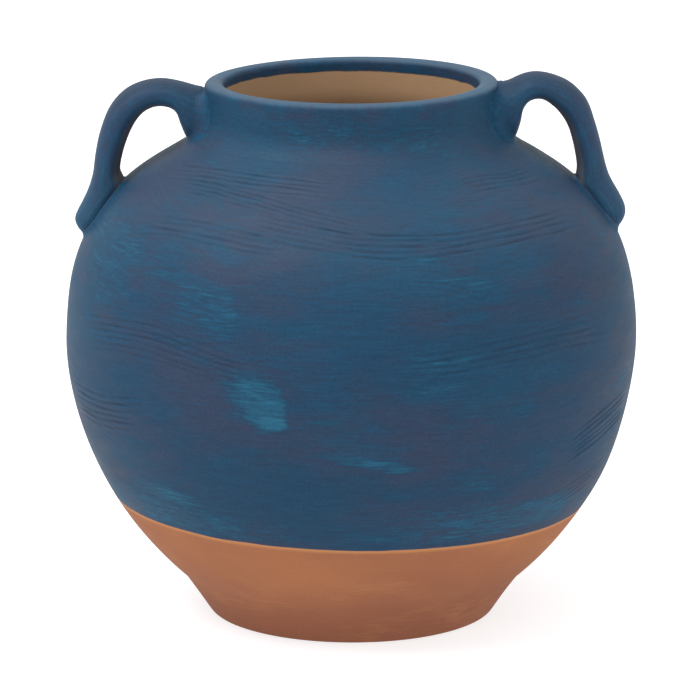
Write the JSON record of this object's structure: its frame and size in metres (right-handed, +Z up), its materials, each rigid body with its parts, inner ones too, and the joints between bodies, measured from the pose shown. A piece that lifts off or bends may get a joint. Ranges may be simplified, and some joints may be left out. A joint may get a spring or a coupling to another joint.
{
  "type": "two-handled vase",
  "caption": "Round earthenware vase with a short wide neck, two strap handles from neck to shoulder, a painted body and a bare terracotta base.",
  "frame": {"origin": "centre of the foot, on the surface the vase stands on", "axes": "+Z up along the axis the body was turned about; the two handles lie in the XZ plane; -Y is the front"},
  "size_m": [0.26, 0.26, 0.2496],
  "materials": {
    "blue_paint": "matte brushed paint, rubbed back in places",
    "bare_clay": "unglazed terracotta"
  },
  "bodies": {
    "root": {"foot": "bare_clay", "lower_body": "bare_clay", "belly": "blue_paint", "shoulder": "blue_paint", "neck": "blue_paint", "handle_left": "blue_paint", "neck_lute_left": "blue_paint", "shoulder_lute_left": "blue_paint", "handle_right": "blue_paint", "neck_lute_right": "blue_paint", "shoulder_lute_right": "blue_paint"}
  },
  "joints": []
}
